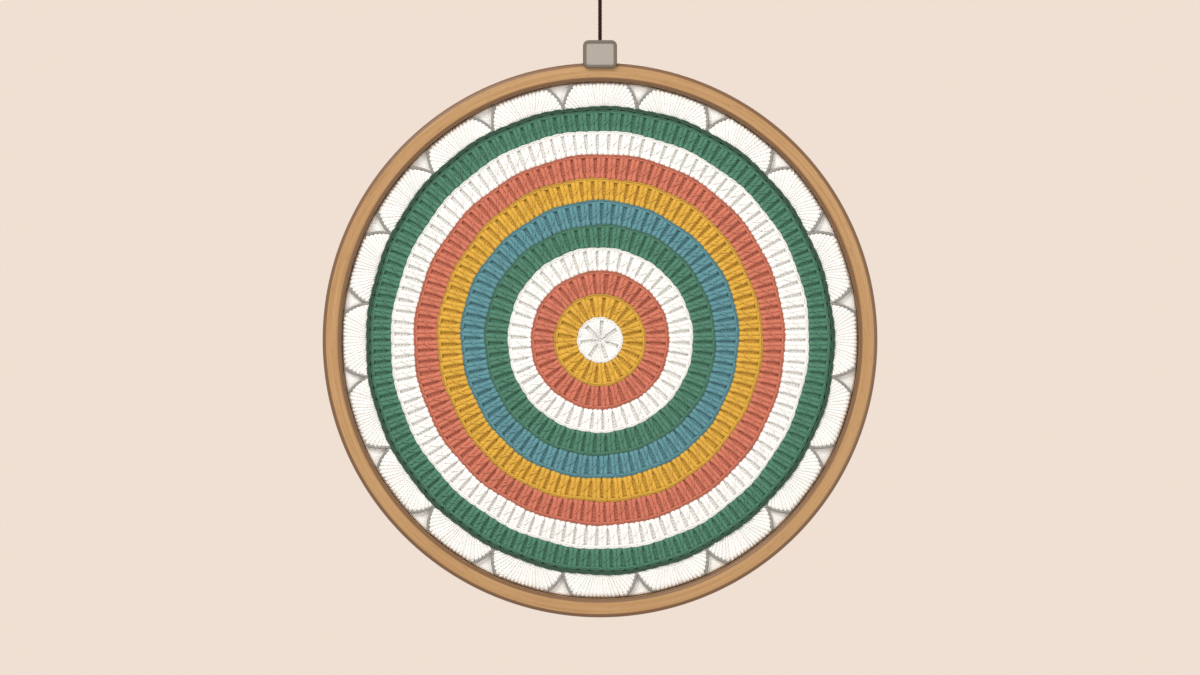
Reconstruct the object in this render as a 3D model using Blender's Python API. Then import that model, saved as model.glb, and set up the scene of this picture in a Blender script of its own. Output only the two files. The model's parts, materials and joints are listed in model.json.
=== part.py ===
"""Crochet mandala wall hanging in a wooden hoop.

A round of crochet in ten coloured rounds, with a dark edging and twenty white scallops, lies on a
white ground cloth that is stretched in a two-ring wooden hoop. A metal clip on the hoop's top edge
holds a cord, which ends in a barrel knot and a hanging loop.

The origin is where a hook bears, on the inside of the loop's top. X is right, Z is up and the front
faces -Y. The hoop, the cloth and the clip are each shaped lying on their back, face up, and then
stood up by a quarter turn about X, so "front" below is their own +Z. Sizes are in metres.
"""
import math

import bmesh
import bpy
from mathutils import Matrix, Vector

MM = 0.001
CLEAR = 0.3 * MM            # left between pieces that touch
MERGE = 0.01 * MM           # points nearer than this are one point
SHARP_DEG = 40              # edges bent more than this are shaded sharp

# Hoop: the outer ring shows in front, the inner ring carries the cloth
SEGMENTS = 80               # facets round every turned piece of the hoop
HOOP_R = 155.0 * MM         # outside of the outer ring
HOOP_BAND = 10.4 * MM       # width of the outer ring, seen from the front
HOOP_DEPTH = 16.0 * MM      # front to back
HOOP_ROUND = 2.2 * MM       # rounding of the outer ring's four edges
INNER_BAND = 4.0 * MM       # width of the inner ring
INNER_ROUND = 0.9 * MM
HOOP_FRONT = HOOP_DEPTH / 2
HOOP_BACK = -HOOP_DEPTH / 2
HOOP_INSIDE_R = HOOP_R - HOOP_BAND

# Ground cloth: a drum skin whose edge goes down between the rings
CLOTH_THICK = 1.0 * MM
CLOTH_FRONT = 2.5 * MM      # height of its face, well behind the hoop's front
CLOTH_BEND = 1.6 * MM       # radius of the fold over the inner ring
CLOTH_OUTER_R = HOOP_INSIDE_R - CLEAR
CLOTH_HEM = HOOP_BACK + 0.5 * MM
CLOTH_BACK = CLOTH_FRONT - CLOTH_THICK
INNER_RING_R = CLOTH_OUTER_R - CLOTH_THICK - CLEAR

# Mandala: ten rounds of one height, an edging and the scallops
ROUNDS = ("white", "mustard", "terracotta", "white", "green",
          "blue", "mustard", "terracotta", "white", "green")
ROUND_HEIGHT = 13.0 * MM    # from the foot to the top of one round of stitches
MANDALA_BACK = CLOTH_FRONT + CLEAR
VALLEY = 1.9 * MM           # thickness between two rounds
CREST = 3.0 * MM            # thickness at the middle of a round
WAVER = 0.6 * MM            # how far a round's edge strays from its circle
SWELL = 0.15 * MM           # how far a round's thickness strays
WAVER_LAG = 2.4             # how far, in radians, each round's waver lags the last one's
SWELL_LAG = 1.7
EDGING_WIDTH = 2.2 * MM
EDGING_CREST = 2.7 * MM
EDGING_R = len(ROUNDS) * ROUND_HEIGHT
# place across a round, from its foot to its top, and share of the way from valley to crest
ROUND_SHAPE = ((0.30, 1.00), (0.70, 0.92), (1.00, 0.00))
# facets round a ring of points, by the radius up to which that count holds
COLUMNS = ((0.8 * ROUND_HEIGHT, 20), (2.1 * ROUND_HEIGHT, 40), (1.0, 60))

# Scallops: parts of circles whose centres lie just inside the edging
SCALLOPS = 20
SCALLOP_R = 20.8 * MM
SCALLOP_CENTRE_R = 129.3 * MM
SCALLOP_REACH = CLOTH_OUTER_R - 0.1 * MM    # where the hoop stops them
SCALLOP_THICK = 2.7 * MM
SCALLOP_EDGE = 1.0 * MM                     # thickness at the outline
SCALLOP_FALL = 5.0 * MM                     # width of the rounding towards the outline
ARC_SHARES = (0.0, 0.34, 0.67, 1.0)         # columns along the stretch that the hoop stops
SIDE_SHARES = (0.38, 0.72)                  # columns along each side, down to the V
ROW_SHARES = (0.0, 0.45, 0.82, 1.0)         # rows from the edging to the outline

# Clip
CLIP_WIDTH = 19.0 * MM
CLIP_TOP = 167.3 * MM       # above the hoop's centre
CLIP_BOTTOM = 151.7 * MM
CLIP_CORNER = 3.1 * MM
CLIP_LIP = 2.0 * MM         # thickness of the lip in front of the ring
CLIP_RIM = 1.7 * MM         # width of the raised rim round its face
CLIP_SUNK = 0.5 * MM        # depth of the face behind the rim, and the edges' chamfer
CORNER_STEPS = 4
BORE_DEPTH = 3.0 * MM       # of the cord's hole in the clip's top
BORE_SIDES = 12
BORE_EASE = 0.36 * MM       # more than the clearance, because the hole's sides are flat

# Cord, knot and loop
CORD_D = 2.2 * MM
CORD_SPACING = 2.5 * CORD_D # between points along the cord
CORD_FREE = 33.0 * MM       # from the clip's top to the knot
KNOT_TURNS = 3
KNOT_STEPS = 16
KNOT_SECTION = (-75, -30, 30, 75)   # degrees, the points on the outside of each turn
LOOP_TALL = 26.0 * MM
LOOP_SPREAD = 9.0 * MM
LOOP_POINTS = 19
LOOP_FINE_STEPS = 600
CORD_BEVEL_STEPS = 2

KNOT_FOOT = CLIP_TOP + CORD_FREE + CLEAR
KNOT_HEAD = KNOT_FOOT + KNOT_TURNS * CORD_D
LOOP_FOOT = KNOT_HEAD + CLEAR
HANG_POINT = LOOP_FOOT + LOOP_TALL - CORD_D / 2     # above the hoop's centre

# Linear colours
YARN = {
    "white": (0.955, 0.930, 0.871),
    "mustard": (0.651, 0.352, 0.051),
    "terracotta": (0.546, 0.165, 0.102),
    "green": (0.076, 0.195, 0.127),
    "blue": (0.107, 0.250, 0.275),
    "edging green": (0.033, 0.073, 0.045),
}
BEECH = (0.552, 0.318, 0.141)
COTTON = (0.913, 0.888, 0.831)
ZINC = (0.479, 0.423, 0.359)
BROWN = (0.041, 0.021, 0.013)


def clear_scene():
    for thing in list(bpy.data.objects):
        bpy.data.objects.remove(thing, do_unlink=True)


def material(name, colour, roughness, metallic=0.0):
    """A Principled material of one linear colour."""
    made = bpy.data.materials.new(name)
    made.use_nodes = True
    shader = made.node_tree.nodes["Principled BSDF"]
    shader.inputs["Base Color"].default_value = (*colour, 1.0)
    shader.inputs["Roughness"].default_value = roughness
    shader.inputs["Metallic"].default_value = metallic
    return made


def add_object(name, bm, materials, quarter_turns=1):
    """Turns a bmesh into a smooth-shaded object below the hanging point, stood up by a quarter
    turn where it was shaped lying on its back."""
    bmesh.ops.recalc_face_normals(bm, faces=bm.faces)
    mesh = bpy.data.meshes.new(name)
    bm.to_mesh(mesh)
    bm.free()
    for item in materials:
        mesh.materials.append(item)
    mesh.shade_smooth()
    mesh.set_sharp_from_angle(angle=math.radians(SHARP_DEG))
    made = bpy.data.objects.new(name, mesh)
    made.location = (0.0, 0.0, -HANG_POINT)
    made.rotation_euler = (math.radians(90) * quarter_turns, 0.0, 0.0)
    bpy.context.scene.collection.objects.link(made)
    return made


def rounded_box(left, right, low, high, radius, steps):
    """The points of a rectangle with round corners, anticlockwise from its lower right corner."""
    corners = ((right - radius, low + radius, -90), (right - radius, high - radius, 0),
               (left + radius, high - radius, 90), (left + radius, low + radius, 180))
    points = []
    for x, y, start in corners:
        for step in range(steps + 1):
            turn = math.radians(start + 90 * step / steps)
            points.append((x + radius * math.cos(turn), y + radius * math.sin(turn)))
    return points


def turned(profile, segments, closed):
    """A bmesh made by turning a profile of (radius, height) points about the Z axis."""
    bm = bmesh.new()
    verts = [bm.verts.new((radius, 0.0, height)) for radius, height in profile]
    edges = [bm.edges.new(pair) for pair in zip(verts, verts[1:])]
    if closed:
        edges.append(bm.edges.new((verts[-1], verts[0])))
    bmesh.ops.spin(bm, geom=verts + edges, cent=(0, 0, 0), axis=(0, 0, 1),
                   angle=math.tau, steps=segments, use_merge=True)
    bmesh.ops.remove_doubles(bm, verts=bm.verts, dist=MERGE)
    return bm


def make_outer_ring():
    profile = rounded_box(HOOP_INSIDE_R, HOOP_R, HOOP_BACK, HOOP_FRONT, HOOP_ROUND, steps=2)
    beech = material("waxed beech", BEECH, 0.5)
    return add_object("outer_ring", turned(profile, SEGMENTS, closed=True), [beech])


def make_inner_ring():
    profile = rounded_box(INNER_RING_R - INNER_BAND, INNER_RING_R,
                          HOOP_BACK, CLOTH_BACK - CLEAR, INNER_ROUND, steps=1)
    beech = material("plain beech", BEECH, 0.6)
    return add_object("inner_ring", turned(profile, SEGMENTS, closed=True), [beech])


def make_ground_cloth():
    """A disc whose edge folds down through a quarter round and ends in the hem."""
    outer = [(0.0, CLOTH_FRONT)]
    inner = [(0.0, CLOTH_BACK)]
    middle_r = CLOTH_OUTER_R - CLOTH_BEND
    middle_z = CLOTH_FRONT - CLOTH_BEND
    for degrees in (90, 45, 0):
        turn = math.radians(degrees)
        for points, radius in ((outer, CLOTH_BEND), (inner, CLOTH_BEND - CLOTH_THICK)):
            points.append((middle_r + radius * math.cos(turn), middle_z + radius * math.sin(turn)))
    outer.append((CLOTH_OUTER_R, CLOTH_HEM))
    inner.append((CLOTH_OUTER_R - CLOTH_THICK, CLOTH_HEM))
    cotton = material("white cotton", COTTON, 0.9)
    bm = turned(outer + inner[::-1], SEGMENTS, closed=False)
    return add_object("ground_cloth", bm, [cotton])


def rim_angle():
    """Half the angle over which the hoop, and not the scallop's own circle, stops a scallop."""
    square = SCALLOP_REACH ** 2 + SCALLOP_CENTRE_R ** 2 - SCALLOP_R ** 2
    return math.acos(square / (2 * SCALLOP_REACH * SCALLOP_CENTRE_R))


def outline_radius(turn):
    """How far a scallop reaches, at an angle from its middle: its circle, stopped by the hoop."""
    across = SCALLOP_CENTRE_R * math.sin(turn)
    circle = SCALLOP_CENTRE_R * math.cos(turn) + math.sqrt(SCALLOP_R ** 2 - across ** 2)
    return min(circle, SCALLOP_REACH)


def scallop_thickness(radius, turn):
    """Full in the middle, and falling in a quarter round to the thin edge at the outline."""
    from_centre = math.sqrt(radius ** 2 + SCALLOP_CENTRE_R ** 2
                            - 2 * radius * SCALLOP_CENTRE_R * math.cos(turn))
    to_edge = max(0.0, min(SCALLOP_R - from_centre, SCALLOP_REACH - radius))
    share = min(1.0, to_edge / SCALLOP_FALL)
    return SCALLOP_EDGE + (SCALLOP_THICK - SCALLOP_EDGE) * math.sqrt(1 - (1 - share) ** 2)


def scallop_columns():
    """The angles of the scallops' columns all the way round, with each column's own angle
    from its scallop's middle."""
    rim = rim_angle()
    half = math.pi / SCALLOPS
    side = [rim + (half - rim) * share for share in SIDE_SHARES]
    right = [rim * share for share in ARC_SHARES] + side
    own = [-half] + [-turn for turn in reversed(right[1:])] + right
    return [(math.tau * k / SCALLOPS + turn, turn) for k in range(SCALLOPS) for turn in own]


def ring(bm, points):
    """A closed ring as (angle, vertex) pairs, from (angle, radius, height) points; the angle
    runs clockwise from the top."""
    return [(turn, bm.verts.new((radius * math.sin(turn), radius * math.cos(turn), height)))
            for turn, radius, height in points]


def even_ring(bm, radius, thickness, number):
    """A ring of evenly spaced points, slightly uneven in radius and height as hand work is."""
    count = next(columns for reach, columns in COLUMNS if radius <= reach)
    points = []
    for step in range(count):
        turn = math.tau * step / count - math.pi / SCALLOPS
        waver = WAVER * math.sin((3 + number % 4) * turn + WAVER_LAG * number)
        swell = SWELL * math.sin(2 * turn + SWELL_LAG * number)
        points.append((turn, radius + waver * min(1.0, radius / (2 * ROUND_HEIGHT)),
                       MANDALA_BACK + thickness + swell))
    return ring(bm, points)


def flat_ring(bm, radius):
    """A ring of evenly spaced points on the mandala's flat back."""
    count = COLUMNS[-1][1]
    return ring(bm, [(math.tau * step / count - math.pi / SCALLOPS, radius, MANDALA_BACK)
                     for step in range(count)])


def zip_rings(bm, inner, outer, shade):
    """Fills the band between two rings with triangles. At each step the ring whose next point
    comes first on the way round moves on by one point."""
    i = j = 0
    inner_turns = [turn for turn, vert in inner] + [inner[0][0] + math.tau]
    outer_turns = [turn for turn, vert in outer] + [outer[0][0] + math.tau]
    while i < len(inner) or j < len(outer):
        first = inner[i % len(inner)][1]
        second = outer[j % len(outer)][1]
        if j == len(outer) or (i < len(inner) and inner_turns[i + 1] <= outer_turns[j + 1]):
            i += 1
            third = inner[i % len(inner)][1]
        else:
            j += 1
            third = outer[j % len(outer)][1]
        bm.faces.new((first, second, third)).material_index = shade


def close_with_fan(bm, around, height, shade):
    """Joins a ring to a point on the axis."""
    middle = bm.verts.new((0.0, 0.0, height))
    verts = [vert for turn, vert in around]
    for first, second in zip(verts, verts[1:] + verts[:1]):
        bm.faces.new((first, second, middle)).material_index = shade


def make_mandala():
    """One piece of crochet: ridged rounds, the edging and the scallops above, flat below."""
    bm = bmesh.new()
    shades = list(YARN)
    last = None
    for place, yarn in enumerate(ROUNDS):
        shade = shades.index(yarn)
        for across, share in ROUND_SHAPE:
            radius = (place + across) * ROUND_HEIGHT
            if across == 1.0 and place == len(ROUNDS) - 1:
                radius = EDGING_R - EDGING_WIDTH / 2
            # the valley at a round's top is also the next round's foot, and strays with it
            number = place + int(across)
            here = even_ring(bm, radius, VALLEY + share * (CREST - VALLEY), number)
            if last:
                zip_rings(bm, last, here, shade)
            else:
                close_with_fan(bm, here, MANDALA_BACK + VALLEY, shade)
            last = here

    edging = even_ring(bm, EDGING_R, EDGING_CREST, len(ROUNDS))
    dark = shades.index("edging green")
    zip_rings(bm, last, edging, dark)

    white = shades.index("white")
    foot_r = EDGING_R + EDGING_WIDTH / 2
    columns = scallop_columns()
    last = edging
    for share in ROW_SHARES:
        points = []
        for turn, own in columns:
            radius = foot_r + share * (outline_radius(own) - foot_r)
            points.append((turn, radius, MANDALA_BACK + scallop_thickness(radius, own)))
        here = ring(bm, points)
        zip_rings(bm, last, here, dark if last is edging else white)
        last = here

    under = ring(bm, [(turn, outline_radius(own), MANDALA_BACK) for turn, own in columns])
    zip_rings(bm, last, under, white)
    base = flat_ring(bm, EDGING_R)
    zip_rings(bm, under, base, white)
    close_with_fan(bm, base, MANDALA_BACK, white)
    materials = [material(yarn + " yarn", colour, 0.9) for yarn, colour in YARN.items()]
    return add_object("mandala", bm, materials)


def cut_away(target, name, bm):
    """Cuts a bmesh's shape out of an object with a Boolean modifier; the cutter isn't built."""
    cutter = add_object(name, bm, [])
    cutter.hide_render = True
    cutter.display_type = "WIRE"
    cut = target.modifiers.new(name, "BOOLEAN")
    cut.operation = "DIFFERENCE"
    cut.solver = "EXACT"
    cut.object = cutter


def make_hanger_clip():
    """A block with a raised rim round its face. Its back is flush with the hoop's, its lip
    reaches down in front of the ring, and its underside follows the ring's outside."""
    front = HOOP_FRONT + CLEAR + CLIP_LIP
    # inset from the outline and height, from the back to the sunk face
    levels = ((CLIP_SUNK, HOOP_BACK), (0.0, HOOP_BACK + CLIP_SUNK), (0.0, front - CLIP_SUNK),
              (CLIP_SUNK, front), (CLIP_RIM, front), (CLIP_RIM + CLIP_SUNK / 2, front - CLIP_SUNK))
    bm = bmesh.new()
    loops = []
    for inset, height in levels:
        points = rounded_box(inset - CLIP_WIDTH / 2, CLIP_WIDTH / 2 - inset, CLIP_BOTTOM + inset,
                             CLIP_TOP - inset, CLIP_CORNER - inset, CORNER_STEPS)
        loops.append([bm.verts.new((x, y, height)) for x, y in points])
    for lower, upper in zip(loops, loops[1:]):
        for k in range(len(lower)):
            after = (k + 1) % len(lower)
            bm.faces.new((lower[k], lower[after], upper[after], upper[k]))
    bm.faces.new(loops[0])
    bm.faces.new(loops[-1])
    zinc = material("cast zinc", ZINC, 0.4, metallic=0.9)
    clip = add_object("hanger_clip", bm, [zinc])

    ring_room = [(0.0, HOOP_FRONT + CLEAR), (HOOP_R + CLEAR, HOOP_FRONT + CLEAR),
                 (HOOP_R + CLEAR, 2 * HOOP_BACK), (0.0, 2 * HOOP_BACK)]
    cut_away(clip, "ring_room", turned(ring_room, SEGMENTS, closed=False))

    bore = bmesh.new()
    radius = CORD_D / 2 + BORE_EASE
    bmesh.ops.create_cone(bore, cap_ends=True, segments=BORE_SIDES, radius1=radius,
                          radius2=radius, depth=2 * BORE_DEPTH)
    bmesh.ops.rotate(bore, verts=bore.verts, cent=(0, 0, 0),
                     matrix=Matrix.Rotation(math.radians(90), 3, "X"))
    bmesh.ops.translate(bore, verts=bore.verts, vec=(0.0, CLIP_TOP, 0.0))
    cut_away(clip, "cord_room", bore)
    return clip


def make_cord(name, points, colour_material):
    """A round cord as an open poly curve with a round section and closed ends."""
    curve = bpy.data.curves.new(name, "CURVE")
    curve.dimensions = "3D"
    curve.bevel_depth = CORD_D / 2
    curve.bevel_resolution = CORD_BEVEL_STEPS
    curve.use_fill_caps = True
    spline = curve.splines.new("POLY")
    spline.points.add(len(points) - 1)
    for place, (x, y, z) in zip(spline.points, points):
        place.co = (x, y, z, 1.0)
    curve.materials.append(colour_material)
    made = bpy.data.objects.new(name, curve)
    made.location = (0.0, 0.0, -HANG_POINT)
    bpy.context.scene.collection.objects.link(made)
    return made


def make_hang_cord(brown):
    """The taut cord, from the bottom of its bore in the clip to just under the knot."""
    foot = CLIP_TOP - BORE_DEPTH + CLEAR
    head = KNOT_FOOT - CLEAR
    count = round((head - foot) / CORD_SPACING) + 1
    points = [(0.0, 0.0, foot + (head - foot) * step / (count - 1)) for step in range(count)]
    return make_cord("hang_cord", points, brown)


def make_hang_knot(brown):
    """A barrel knot: turns of cord laid one on the other round the standing part."""
    profile = [(0.0, KNOT_FOOT)]
    for turn in range(KNOT_TURNS):
        middle = KNOT_FOOT + (turn + 0.5) * CORD_D
        for degrees in KNOT_SECTION:
            angle = math.radians(degrees)
            profile.append((CORD_D + CORD_D / 2 * math.cos(angle),
                            middle + CORD_D / 2 * math.sin(angle)))
    profile.append((0.0, KNOT_HEAD))
    bm = turned(profile, KNOT_STEPS, closed=False)
    return add_object("hang_knot", bm, [brown], quarter_turns=0)


def loop_point(share):
    """A place on the drop-shaped loop, by the share of the way round. Its width swells with the
    sine of a full turn, held back near the knot by the square of the sine of a half turn, while
    its height rises and falls once."""
    half_gap = (CORD_D + CLEAR) / 2
    swell = math.sin(math.tau * share) * math.sin(math.pi * share) ** 2
    x = -half_gap * math.cos(math.pi * share) - LOOP_SPREAD * swell
    return Vector((x, 0.0, LOOP_FOOT + LOOP_TALL * (1 - math.cos(math.tau * share)) / 2))


def evenly_spaced(curve, count):
    """Points an even length apart along a smooth curve, which gives a place for each share."""
    fine = [curve(step / LOOP_FINE_STEPS) for step in range(LOOP_FINE_STEPS + 1)]
    run = [0.0]
    for first, second in zip(fine, fine[1:]):
        run.append(run[-1] + (second - first).length)
    points = []
    for step in range(count):
        goal = run[-1] * step / (count - 1)
        points.append(fine[min(range(len(run)), key=lambda k: abs(run[k] - goal))])
    return points


def make_hang_loop(brown):
    return make_cord("hang_loop", evenly_spaced(loop_point, LOOP_POINTS), brown)


def main():
    clear_scene()
    make_outer_ring()
    make_inner_ring()
    make_ground_cloth()
    make_mandala()
    make_hanger_clip()
    make_hang_cord(material("cord", BROWN, 0.8))
    make_hang_knot(material("knotted cord", BROWN, 0.8))
    make_hang_loop(material("looped cord", BROWN, 0.8))


main()
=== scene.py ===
import json
import math
from collections import namedtuple

import bmesh
import bpy
import numpy as np
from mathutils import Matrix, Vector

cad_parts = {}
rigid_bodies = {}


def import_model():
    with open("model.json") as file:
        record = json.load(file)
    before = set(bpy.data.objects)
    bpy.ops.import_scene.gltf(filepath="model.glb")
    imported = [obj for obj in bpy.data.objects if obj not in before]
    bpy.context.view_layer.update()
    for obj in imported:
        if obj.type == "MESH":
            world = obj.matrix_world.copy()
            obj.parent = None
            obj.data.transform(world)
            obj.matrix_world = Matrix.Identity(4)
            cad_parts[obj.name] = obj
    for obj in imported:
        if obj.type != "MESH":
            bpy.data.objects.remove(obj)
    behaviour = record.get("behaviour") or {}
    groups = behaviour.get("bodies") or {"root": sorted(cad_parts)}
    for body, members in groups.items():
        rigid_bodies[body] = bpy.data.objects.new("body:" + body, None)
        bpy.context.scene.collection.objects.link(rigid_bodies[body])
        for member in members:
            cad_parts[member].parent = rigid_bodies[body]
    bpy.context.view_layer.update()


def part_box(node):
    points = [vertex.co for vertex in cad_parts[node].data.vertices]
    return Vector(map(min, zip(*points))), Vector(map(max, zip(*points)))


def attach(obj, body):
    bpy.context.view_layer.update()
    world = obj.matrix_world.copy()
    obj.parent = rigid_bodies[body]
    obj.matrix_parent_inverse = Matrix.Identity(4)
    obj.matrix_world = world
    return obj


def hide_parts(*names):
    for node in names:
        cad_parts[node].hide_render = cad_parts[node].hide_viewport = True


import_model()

# The crochet mandala wall hanging: yarn, cloth, beech hoop, clip and cord.
# "Front" is a height towards the viewer, who looks along +Y; turns run clockwise from the top,
# and heights, fronts and radii start from the hoop's centre.

MM = 0.001
CHANCE = np.random.default_rng(12)
FRONT = np.array([0.0, -1.0, 0.0])
UP = np.array([0.0, 0.0, 1.0])


def chance(*shape):
    """Even random numbers from -1 to 1."""
    return CHANCE.uniform(-1, 1, shape)


# Places that the frame gives


def node_box(node):
    return [np.array(corner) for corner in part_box(node)]


HOOP_LOW, HOOP_HIGH = node_box("outer_ring")
INNER_LOW, INNER_HIGH = node_box("inner_ring")
CLOTH_LOW, CLOTH_HIGH = node_box("ground_cloth")
CLIP_LOW, CLIP_HIGH = node_box("hanger_clip")
KNOT_LOW, KNOT_HIGH = node_box("hang_knot")

CENTRE = (HOOP_LOW + HOOP_HIGH) / 2
HOOP_R = (HOOP_HIGH[0] - HOOP_LOW[0]) / 2
HOOP_BAND = 10.4 * MM
HOOP_ROUND = 2.2 * MM
INNER_R = (INNER_HIGH[0] - INNER_LOW[0]) / 2
INNER_BAND = 4.0 * MM
INNER_ROUND = 0.9 * MM
CLOTH_R = (CLOTH_HIGH[0] - CLOTH_LOW[0]) / 2
CLOTH_FRONT = -CLOTH_LOW[1]
CLOTH_HEM = -CLOTH_HIGH[1]
CLOTH_THICK = 1.0 * MM
CLOTH_BEND = 1.6 * MM
CLIP_TOP = CLIP_HIGH[2] - CENTRE[2]

# Mandala
ROUNDS = ("white", "mustard", "terracotta", "white", "green",
          "blue", "mustard", "terracotta", "white", "green")
ROUND_HEIGHT = 13.0 * MM
FIRST_STITCHES = 7
MORE_STITCHES = 13          # added in each further round
FIRST_GAP = 0.13            # place of a round's first gap, in stitches from the top
GAP_SHIFT = 0.205           # how much later, in stitches, each further round begins
GAP = 1.55 * MM             # between two stitches
MANDALA_BACK = CLOTH_FRONT + 0.3 * MM
WAVER = 0.45 * MM           # how far a round's edge strays from its circle, in a few long
RIPPLE = 0.30 * MM          # waves and in many short ones
WAVER_LAG = 2.4
RIPPLE_LAG = 1.3
EDGING_R = len(ROUNDS) * ROUND_HEIGHT
EDGING_HALF = 1.15 * MM
SCALLOPS = 20
SCALLOP_R = 20.8 * MM
SCALLOP_CENTRE_R = 129.3 * MM
SCALLOP_REACH = CLOTH_R - 0.1 * MM

# Colours, in sRGB
COLOURS = {
    "white": "FBF8F2", "mustard": "DAA83D", "terracotta": "CC755C", "green": "4D7E67",
    "blue": "5D8F96", "edging": "375542", "grey": "9A968E", "cotton": "FBF9F4",
    "beech": "B48B5B", "beech streak": "A47847", "beech arris": "74502E",
    "zinc": "A59C92", "zinc rim": "72695D", "cord": "30190B", "studio": "F0E0D3",
}


def linear(name):
    """A colour of the table above as linear red, green, blue and alpha."""
    code = COLOURS[name]
    parts = [int(code[k:k + 2], 16) / 255 for k in (0, 2, 4)]
    return [p / 12.92 if p <= 0.04045 else ((p + 0.055) / 1.055) ** 2.4 for p in parts] + [1.0]


# Surfaces. A shape is its points, its faces as (corners, uv, finish) groups, and named values
# for its points.
Shape = namedtuple("Shape", "points faces values")


def place(across, up, front):
    """World points from how far right, up and to the front they lie of the hoop's centre."""
    across, up, front = np.broadcast_arrays(across, up, front)
    return np.stack([CENTRE[0] + across, -front, CENTRE[2] + up], axis=-1)


def around(turn, radius, front):
    """World points from the clockwise turn, the radius and the height to the front."""
    return place(radius * np.sin(turn), radius * np.cos(turn), front)


def facing_out(points, faces):
    """The same faces, turned over if the volume they enclose comes out negative: the sum, over
    all triangles, of the first corner dotted with the cross product of the two others."""
    volume = 0.0
    from_first = points - points[0]
    for corners, uv, finish in faces:
        for k in range(1, corners.shape[1] - 1):
            first, second, third = (from_first[corners[:, j]] for j in (0, k, k + 1))
            volume += np.einsum("ij,ij->", first, np.cross(second, third))
    if volume > 0:
        return faces
    return [(corners[:, ::-1], uv[:, ::-1], finish) for corners, uv, finish in faces]


def wrapped_grid(points, u, v, finish=None, poles=None, **values):
    """A closed surface from a grid of points (rows, columns) whose last row joins its first. Its
    last column joins its first too, or, with two pole points, each outer column closes in a fan
    on its pole. u has one value more than the rows, v one more than the columns."""
    rows, columns = points.shape[:2]
    spans = columns if poles is None else columns - 1
    i, j = np.meshgrid(np.arange(rows), np.arange(spans), indexing="ij")
    after_i, after_j = (i + 1) % rows, (j + 1) % columns
    corners = np.stack([i * columns + j, after_i * columns + j,
                        after_i * columns + after_j, i * columns + after_j], axis=-1)
    uv = np.stack([np.stack([u[i], v[j]], -1), np.stack([u[i + 1], v[j]], -1),
                   np.stack([u[i + 1], v[j + 1]], -1), np.stack([u[i], v[j + 1]], -1)], axis=-2)
    finish = np.zeros((rows, columns), int) if finish is None else finish
    flat = points.reshape(-1, 3)
    faces = [(corners.reshape(-1, 4), uv.reshape(-1, 4, 2), finish[:, :spans].ravel())]
    levels = {name: np.broadcast_to(value, (rows, columns)).ravel()
              for name, value in values.items()}
    if poles is not None:
        row = np.arange(rows)
        after = (row + 1) % rows
        for pole, edge, far in ((0, 0, 1), (1, columns - 1, columns - 2)):
            tip = np.full(rows, len(flat) + pole)
            ends = (row, after) if pole == 0 else (after, row)
            corner = np.stack([tip, ends[1] * columns + edge, ends[0] * columns + edge], axis=-1)
            side = np.stack([u[:-1], np.full(rows, v[edge])], -1)
            faces.append((corner, np.stack([side, side, side], -2), finish[:, edge]))
        levels = {name: np.append(value, [value[0], value[columns - 1]])
                  for name, value in levels.items()}
        flat = np.concatenate([flat, np.array(poles)])
    return Shape(flat, facing_out(flat, faces), levels)


def turned(profile, rows, dark=0.0, closed=True):
    """A profile of (radius, front) points turned once round the hoop's axis. Points lie at
    (radius sin t, radius cos t, front). A closed profile's end joins its start; any other starts
    and ends on the axis. "grain" is how far round the circle and along the profile a point lies,
    as sine and cosine of t times the radius, and the run along the profile, in mm."""
    profile = np.array(profile)
    turn = np.linspace(0, math.tau, rows + 1)[:-1, None]
    run = np.concatenate([[0.0], np.cumsum(np.hypot(*np.diff(profile, axis=0).T))]) / MM
    body = profile if closed else profile[1:-1]
    body_run = run if closed else run[1:-1]
    points = around(turn, body[:, 0], body[:, 1])
    poles = None
    if not closed:
        poles = [place(0.0, 0.0, profile[k][1]) for k in (0, -1)]
    u = np.linspace(0, math.tau * profile[:, 0].max() / MM, rows + 1)
    v = np.append(body_run, body_run[-1] + 1.0)
    return wrapped_grid(points, u, v, poles=poles, dark=dark,
                        grain_x=np.sin(turn) * HOOP_R / MM + 0 * body_run,
                        grain_y=np.cos(turn) * HOOP_R / MM + 0 * body_run,
                        grain_z=body_run)


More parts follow.
